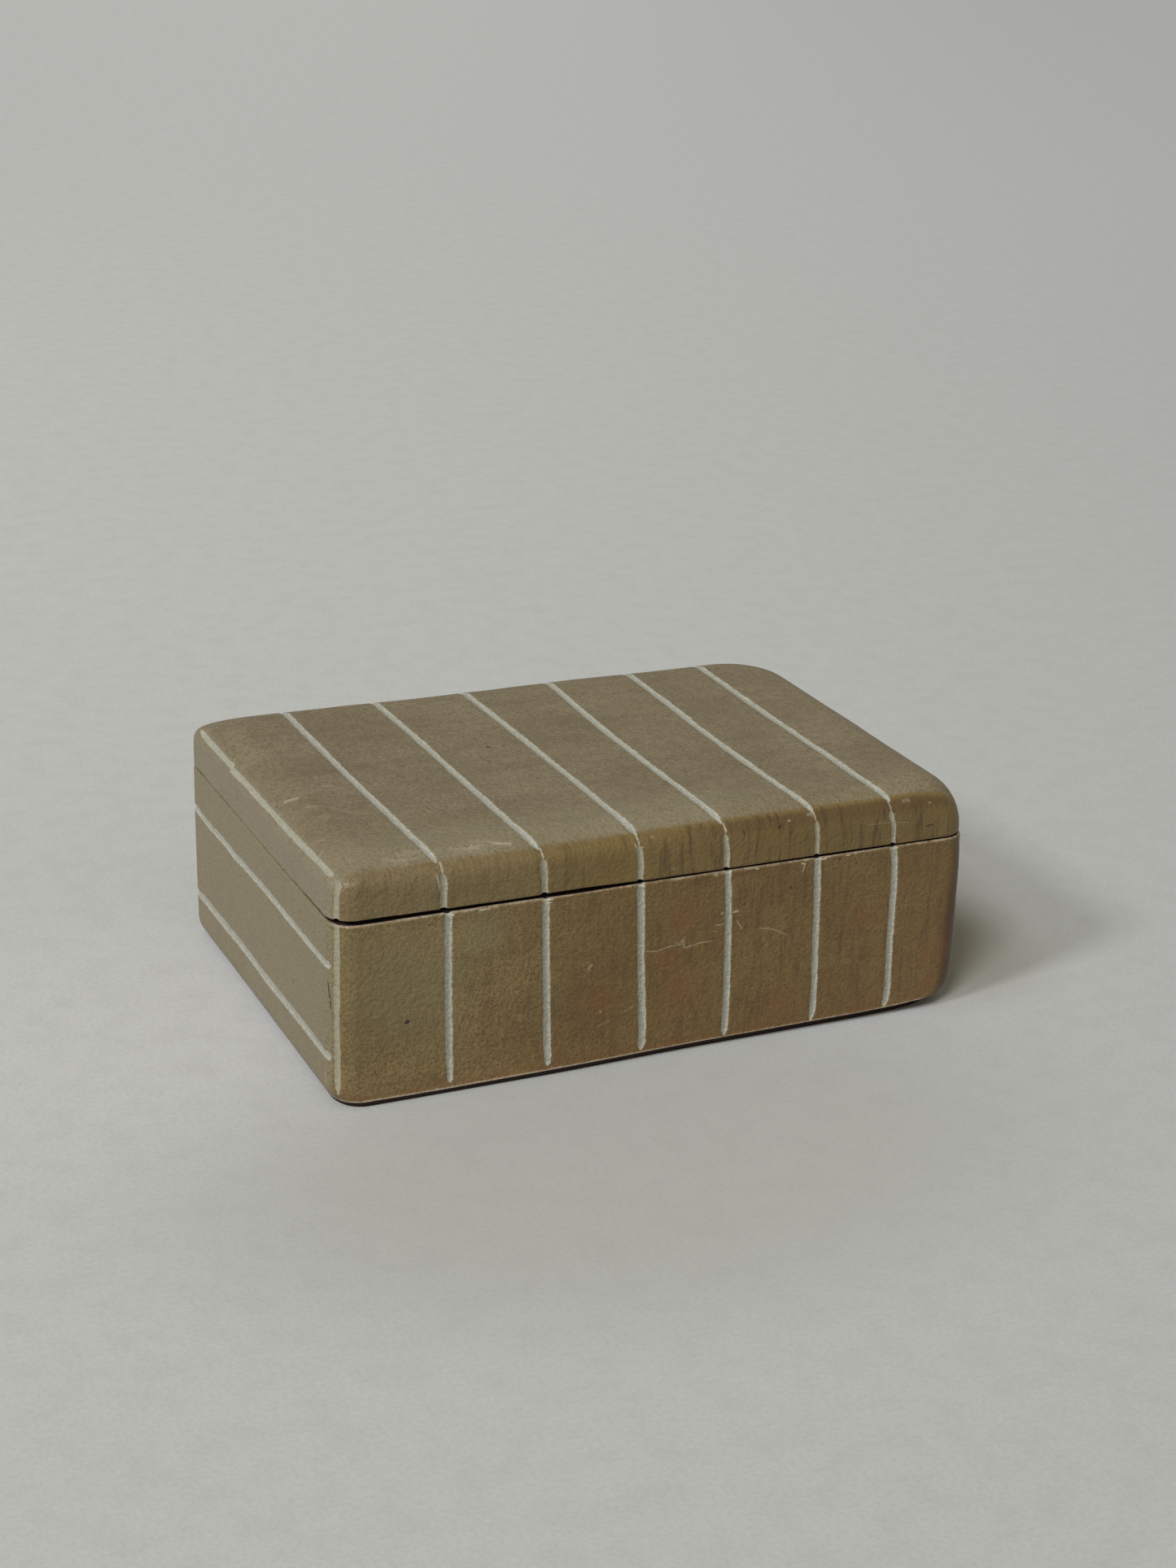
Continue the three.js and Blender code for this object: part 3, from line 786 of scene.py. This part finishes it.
def stone_piece(name, skin, lines, faces):
    """Makes the mesh of a stone piece, uneven as hand work is, with its grooves cut in."""
    mesh = bpy.data.meshes.new(name)
    mesh.from_pydata((skin.points * MM).tolist(), [], skin.faces)
    normals = np.zeros(len(skin.points) * 3, np.float32)
    mesh.vertex_normals.foreach_get("vector", normals)
    normals = normals.reshape(-1, 3).astype(float)
    outer = 1 - np.clip(skin.raw * 2, 0, 1)
    outside, track, depth, tint = carve(skin.points, lines)
    uneven = sum(swell * noise(skin.points, size, shift) for swell, size, shift in UNEVEN)
    rough = INSIDE_ROUGH * noise(skin.points, INSIDE_LUMPS) * (1 - outer)
    settled = smooth(skin.points[:, 2], 0.2, 2.5)
    shift = (uneven * outer + rough) * settled - depth * outer
    places = skin.points + normals * shift[:, None]
    mesh.vertices.foreach_set("co", (places * MM).astype(np.float32).ravel())
    marks, tones = near_marks(skin.points, faces)
    values = {"groove": outside, "wear_and_highlight": skin.wear_and_highlight, "raw": skin.raw, "tint": tint, "track": track,
              "mark": marks, "tone": tones, "stains_and_painted_light": stain_and_light_values(skin.points)}
    for key, numbers in values.items():
        kind, field = ("FLOAT", "value") if numbers.ndim == 1 else ("FLOAT_VECTOR", "vector")
        data = mesh.attributes.new(key, kind, "POINT").data
        data.foreach_set(field, numbers.astype(np.float32).ravel())
    mesh.shade_smooth()
    mesh.update()
    return add_object(name, mesh)


def add_object(name, data):
    thing = bpy.data.objects.new(name, data)
    bpy.context.scene.collection.objects.link(thing)
    return thing


# Colours of the stone, as sRGB values from 0 to 255
REDDISH = (112, 80, 52)
GREENISH = (98, 94, 62)
PORES = (88, 76, 54)
GROOVE_LIGHT, GROOVE_DARK, GROOVE_DYED = (164, 164, 150), (135, 132, 115), (136, 126, 94)
INSIDE_LIGHT, INSIDE_DARK = (158, 153, 135), (132, 125, 104)
# The worn colour is the pale of worn edges, and also a painted highlight along the rounded rim, lid and foot
# edges
WORN_AND_HIGHLIGHT, SCRATCHED, CHIPPED = (172, 158, 136), (172, 163, 140), (190, 181, 153)
# The second colour here is painted shade, near black, for the open seam and under the foot's lip
PITTED, GAP_SHADE = (30, 17, 11), (36, 17, 8)
BASE_DYE = (118, 98, 60), (131, 111, 71), (84, 67, 37)
LID_DYE = (118, 105, 80), (129, 117, 92), (93, 81, 57)


def linear(red, green, blue):
    """A colour written in sRGB values from 0 to 255, as Blender's linear colour."""
    parts = [value / 255 for value in (red, green, blue)]
    return *(part / 12.92 if part <= 0.04045 else ((part + 0.055) / 1.055) ** 2.4 for part in parts), 1.0


class Shader:
    """Short names for the nodes of one material."""

    def __init__(self, name):
        self.material = bpy.data.materials.new(name)
        self.material.use_nodes = True
        self.tree = self.material.node_tree
        self.inputs = self.tree.nodes["Principled BSDF"].inputs

    def node(self, kind, inputs=None, **settings):
        node = self.tree.nodes.new(kind)
        for key, value in settings.items():
            setattr(node, key, value)
        for key, value in (inputs or {}).items():
            self.set(node.inputs[key], value)
        return node

    def set(self, socket, value):
        if isinstance(value, bpy.types.NodeSocket):
            self.tree.links.new(value, socket)
        else:
            socket.default_value = value

    def math(self, operation, *inputs):
        return self.node("ShaderNodeMath", dict(enumerate(inputs)), operation=operation).outputs[0]

    def vector(self, operation, *inputs):
        node = self.node("ShaderNodeVectorMath", dict(enumerate(inputs)), operation=operation)
        return node.outputs["Value" if operation in ("DISTANCE", "DOT_PRODUCT") else "Vector"]

    def times(self, value, factor, plus=0):
        return self.math("MULTIPLY_ADD", value, factor, plus)

    def steps(self, value, low, high, to_low=0, to_high=1):
        """Smooth step of a value between two limits."""
        inputs = {"Value": value, "From Min": low, "From Max": high, "To Min": to_low, "To Max": to_high}
        return self.node("ShaderNodeMapRange", inputs, interpolation_type="SMOOTHSTEP").outputs[0]

    def noise(self, place, size, detail, roughness, distortion=0):
        inputs = {"Vector": place, "Scale": 1 / size, "Detail": detail, "Roughness": roughness,
                  "Distortion": distortion}
        return self.node("ShaderNodeTexNoise", inputs).outputs[0]

    def attribute(self, name):
        node = self.node("ShaderNodeAttribute", attribute_name=name)
        return node.outputs["Fac" if name in ("groove", "wear_and_highlight", "raw", "tint") else "Vector"]

    def split(self, vector):
        return self.node("ShaderNodeSeparateXYZ", {0: vector}).outputs

    def mix(self, share, first, second):
        """Blends two colours, which are sockets or sRGB values."""
        node = self.node("ShaderNodeMix", {0: share}, data_type="RGBA")
        for index, colour in ((6, first), (7, second)):
            self.set(node.inputs[index], linear(*colour) if isinstance(colour, tuple) else colour)
        return node.outputs[2]

    def layers(self, colour, table):
        """Lays colours over a colour, each by a value between two limits, and up to a largest share."""
        for value, low, high, share, over in table:
            colour = self.mix(self.steps(value, low, high, 0, share), colour, over)
        return colour


class Stone(Shader):
    """Dyed and waxed stone, with pale bare stone in the grooves, on worn edges and inside, and painted light.
    """

    def __init__(self, name):
        super().__init__(name)
        self.place = self.vector("MULTIPLY", self.node("ShaderNodeTexCoord").outputs["Object"], (1 / MM,) * 3)
        self.raw = self.attribute("raw")
        self.mottle = self.noise(self.place, 2.3, 4, 0.62)
        self.grain = self.noise(self.place, 0.5, 2, 0.6)
        self.ragged = self.noise(self.place, 0.3, 2, 0.6)

    def marks(self):
        """Masks of the scratches, chips and pits, from how far across and along the nearest one is."""
        across, along, distance = self.split(self.attribute("mark"))
        across = self.math("ABSOLUTE", self.times(self.ragged, 1.6, self.math("ADD", across, -0.8)))
        mask = self.times(self.steps(across, 1.3, 0.6), self.steps(distance, 1.3, 0.9))
        mask = self.times(mask, self.steps(self.math("ABSOLUTE", along), 1.05, 0.85))
        return [self.times(mask, strength) for strength in self.split(self.attribute("tone"))]

    def dyed(self, plain, light, dark, hue_share):
        """Dyed colour, from broad clouds and reddish and greenish hues down to fine pores."""
        clouds = self.noise(self.place, 24, 3, 0.5)
        streaks = self.noise(self.vector("MULTIPLY", self.place, (1, 1, 0.16)), 1.5, 3, 0.6)
        bands = self.noise(self.vector("MULTIPLY", self.place, (0.3, 1, 1)), 5, 3, 0.6)
        hues = self.noise(self.place, 11, 3, 0.55, 0.6)
        return self.layers(plain, (
            (clouds, 0.34, 0.66, 1, light),
            (hues, 0.5, 0.66, hue_share, REDDISH),
            (hues, 0.46, 0.3, hue_share, GREENISH),
            (bands, 0.42, 0.72, 0.4, dark),
            (streaks, 0.45, 0.75, 0.45, dark),
            (self.mottle, 0.45, 0.75, 0.4, dark),
            (self.grain, 0.48, 0.7, 0.9, dark),
            (self.grain, 0.46, 0.26, 0.75, light),
            (self.ragged, 0.52, 0.72, 0.75, dark),
        ))

    def speckled(self, colour):
        """Paler dye with fine dark pores."""
        return self.layers(colour, [(self.grain, 0.5, 0.68, 0.6, PORES)])

    def bare(self):
        """Bare stone in the grooves, and the fine lines along them."""
        track = self.attribute("track")
        lines = self.noise(self.vector("MULTIPLY", track, (7, 0.35, 3)), 1, 2, 0.6)
        tone = self.math("ADD", lines, self.grain)
        colour = self.mix(self.steps(tone, 0.68, 1.36), GROOVE_LIGHT, GROOVE_DARK)
        return self.mix(self.attribute("tint"), colour, GROOVE_DYED), lines

    def finish(self, colour):
        """Lays marks, worn edges with painted highlight, painted shade in the seam and under the foot, the
        raw inside and the grooves over the dyed colour.
        """
        notches = self.noise(self.place, 1.3, 3, 0.6)
        gap = self.times(notches, 0.28, self.times(self.ragged, 0.25, self.attribute("groove")))
        groove_mask = self.steps(gap, 0.325, 0.215)
        bare, lines = self.bare()
        scratches, chip_mask, pit_mask = self.marks()
        scratch_mask = self.times(scratches, self.steps(self.grain, 0.35, 0.55, 0.4, 1))
        wear_and_highlight = self.times(self.noise(self.place, 1.6, 3, 0.65), 0.5, self.attribute("wear_and_highlight"))
        inside = self.mix(self.noise(self.place, 9, 4, 0.6), INSIDE_LIGHT, INSIDE_DARK)
        for share, over in (
            # Pale worn edges, also a painted highlight on the rounded rim, lid and foot edges
            (self.steps(wear_and_highlight, 0.55, 0.29, 0, 0.75), WORN_AND_HIGHLIGHT),
            (self.times(scratch_mask, 0.8), SCRATCHED),
            (self.steps(self.raw, 0.15, 0.7), inside),
            (groove_mask, bare),
            (chip_mask, CHIPPED),
            (self.times(pit_mask, 0.9), PITTED),
            # Painted shade: near black where raw is below 0, in the open seam and under the foot's lip
            (self.steps(self.raw, -0.1, -0.6), GAP_SHADE),
        ):
            colour = self.mix(share, colour, over)
        self.set(self.inputs["Base Color"], colour)

        self.inputs["IOR"].default_value = 1.5
        bared = self.math("MAXIMUM", groove_mask, self.steps(self.math("ABSOLUTE", self.raw), 0.15, 0.7))
        dull = self.times(self.mottle, 0.14, 0.36)
        self.set(self.inputs["Roughness"], self.times(bared, 0.35, dull))
        peel = self.noise(self.place, 0.75, 2, 0.5)
        height = self.times(self.mottle, 0.1, self.times(peel, 0.24))
        height = self.times(self.ragged, 0.04, height)
        height = self.times(self.times(lines, groove_mask), 0.06, height)
        height = self.times(pit_mask, -0.12, self.times(scratch_mask, -0.03, height))
        bump = self.node("ShaderNodeBump", {"Height": height, "Strength": 1, "Distance": MM})
        self.set(self.inputs["Normal"], bump.outputs[0])
        return self.material


def base_material():
    s = Stone("dyed_base_stone")
    red, green, dye_and_painted_light = s.split(s.attribute("stains_and_painted_light"))
    streaks = s.noise(s.vector("MULTIPLY", s.place, (1, 1, 0.14)), 1, 3, 0.65)
    streaks = s.times(s.steps(streaks, 0.5, 0.68, 0, 0.38), s.steps(dye_and_painted_light, 0.2, 1))
    blotchy = s.steps(s.mottle, 0.25, 0.6, 0.5, 1)
    # Deeper dye, with painted shade darkening it to the right and on the right end, and a paler speckled dye
    # on the left end as painted sheen
    colour = s.layers(s.dyed(*BASE_DYE, 0.32), (
        (dye_and_painted_light, 0, 1, 0.5, (96, 70, 28)),
        (dye_and_painted_light, 1, 2.4, 0.85, (66, 38, 0)),
        (dye_and_painted_light, 0, -1, 0.8, s.speckled((123, 113, 87))),
    ))
    colour = s.mix(streaks, colour, (70, 50, 26))
    colour = s.mix(s.times(s.times(red, blotchy), 0.6), colour, (110, 72, 38))
    colour = s.mix(s.times(s.times(green, blotchy), 0.7), colour, (117, 108, 76))
    return s.finish(colour)


def lid_material():
    s = Stone("dyed_lid_stone")
    painted_sheen, dye_and_painted_light = s.split(s.attribute("stains_and_painted_light"))[1:3]
    streaks = s.noise(s.vector("MULTIPLY", s.place, (1, 0.12, 0.12)), 1.3, 3, 0.65)
    streaks = s.times(s.steps(streaks, 0.48, 0.66, 0, 0.6), s.steps(dye_and_painted_light, 0.3, 1.2))
    # Painted sheen: the front of the lid's top is paler
    colour = s.mix(s.times(painted_sheen, 0.28), s.dyed(*LID_DYE, 0.12), (138, 130, 104))
    # Deeper dye on the lid's front and rounded edges, with painted shade darkening it to the right and on the
    # front's upper rounding
    colour = s.layers(colour, (
        (dye_and_painted_light, 0, 1, 0.75, (105, 83, 32)),
        (dye_and_painted_light, 1, 2, 0.6, (66, 46, 20)),
    ))
    colour = s.mix(streaks, colour, (64, 44, 24))
    # The paler speckled dye on the left end is a painted sheen
    return s.finish(s.layers(colour, [(dye_and_painted_light, 0, -1, 0.7, s.speckled((125, 115, 91)))]))


def floor_material():
    """Matt paper with painted light: brighter left and beside the box, painted shade in front of it, and its
    shadow.
    """
    s = Shader("floor_paper")
    place = s.node("ShaderNodeTexCoord").outputs["Object"]
    across = s.vector("DOT_PRODUCT", place, (0.912, -0.41, 0))
    back = s.vector("DOT_PRODUCT", place, (0.42, 0.907, 0))
    near = s.vector("DISTANCE", s.vector("MULTIPLY", place, (1, 1.5, 1)), (-0.02, -0.11, 0))
    light = s.vector("DISTANCE", place, (-0.088, 0, 0))
    shadow = s.vector("DISTANCE", place, (0.070, -0.018, 0))
    waves = s.noise(place, 0.007, 3, 0.6)
    fibres = s.noise(place, 0.0009, 3, 0.7)
    # Painted light: the lamps' falloff to the right and back, a painted pool of light left of the box,
    # painted shade in front of it and a painted shadow by its right end
    colour = s.layers((190, 190, 185), (
        (across, -0.3, 0.6, 1, (159, 160, 157)),
        (back, 0.1, 1.2, 0.5, (178, 178, 176)),
        (near, 0.107, 0.04, 0.85, (169, 169, 162)),
        (light, 0.08, 0.01, 0.35, (198, 197, 191)),
        (shadow, 0.034, 0.01, 1, (160, 157, 146)),
        (waves, 0.4, 0.7, 0.12, (150, 149, 143)),
        (fibres, 0.35, 0.75, 0.24, (150, 148, 140)),
    ))
    s.set(s.inputs["Base Color"], colour)
    s.inputs["Roughness"].default_value = 1.0
    s.inputs["Specular IOR Level"].default_value = 0.0
    bump = s.node("ShaderNodeBump", {"Height": fibres, "Strength": 0.2, "Distance": 0.0002})
    s.set(s.inputs["Normal"], bump.outputs[0])
    return s.material


FLOOR_REACH = 12.0


def make_floor():
    """One wide sheet under the box, far larger than the view."""
    mesh = bpy.data.meshes.new("floor")
    corners = [(x * FLOOR_REACH, y * FLOOR_REACH, 0) for x, y in ((-1, -1), (1, -1), (1, 1), (-1, 1))]
    mesh.from_pydata(corners, [], [(0, 1, 2, 3)])
    mesh.materials.append(floor_material())
    floor = add_object("floor", mesh)


# Camera, solved from the box's edges in the photograph: its turns, its place along its own axes, and its lens
CAMERA_AZIMUTH = math.radians(-24.91)
CAMERA_ELEVATION = math.radians(20.90)
CAMERA_ROLL = math.radians(2.02)
CAMERA_PLACE = (4.27, 35.86, 532.8)
CAMERA_LENS = 61.72
CAMERA_CLIP = (0.01, 100)


def make_camera():
    turn = Matrix.Rotation(CAMERA_AZIMUTH, 3, "Z") @ Matrix.Rotation(math.pi / 2 - CAMERA_ELEVATION, 3, "X")
    turn = turn @ Matrix.Rotation(CAMERA_ROLL, 3, "Z")
    data = bpy.data.cameras.new("camera")
    data.lens = CAMERA_LENS
    data.clip_start, data.clip_end = CAMERA_CLIP
    camera = add_object("camera", data)
    camera.matrix_world = Matrix.Translation(turn @ Vector(CAMERA_PLACE) * MM) @ turn.to_4x4()
    bpy.context.scene.camera = camera


# Lamps: two windows on the left, whose shadows overlap, and a wide fill from the front. Each has the
# direction that it shines from, its strength, its colour and its width in degrees. The surround is even.
LAMPS = {
    "low window": ((-0.773, -0.236, 0.588), 0.43, (0.98, 1.0, 1.1), 9),
    "high window": ((-0.517, -0.482, 0.707), 0.58, (0.98, 1.0, 1.08), 16),
    "fill": ((-0.1, -0.9, 0.42), 0.06, (1.04, 1.0, 0.9), 90),
}
SURROUND = (0.337, 0.322, 0.264, 1)


def make_light():
    for name, (direction, strength, colour, width) in LAMPS.items():
        data = bpy.data.lights.new(name, "SUN")
        data.energy = strength * math.pi
        data.color = colour
        data.angle = math.radians(width)
        sun = add_object(name, data)
        sun.matrix_world = Vector(direction).to_track_quat("Z", "Y").to_matrix().to_4x4()
    world = bpy.data.worlds.new("surround")
    world.use_nodes = True
    world.node_tree.nodes["Background"].inputs["Color"].default_value = SURROUND
    bpy.context.scene.world = world


for piece_name, skin_maker, line_maker, face_marks, material in (
    ("base", base_skin, base_grooves, BASE_MARKS, base_material()),
    ("lid", lid_skin, lid_grooves, LID_MARKS, lid_material()),
):
    carved = stone_piece("carved_" + piece_name, skin_maker(), line_maker(), face_marks)
    carved.data.materials.append(material)
    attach(carved, piece_name)
    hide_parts(piece_name)

make_floor()
make_light()
make_camera()
bpy.context.scene.view_settings.view_transform = "Standard"
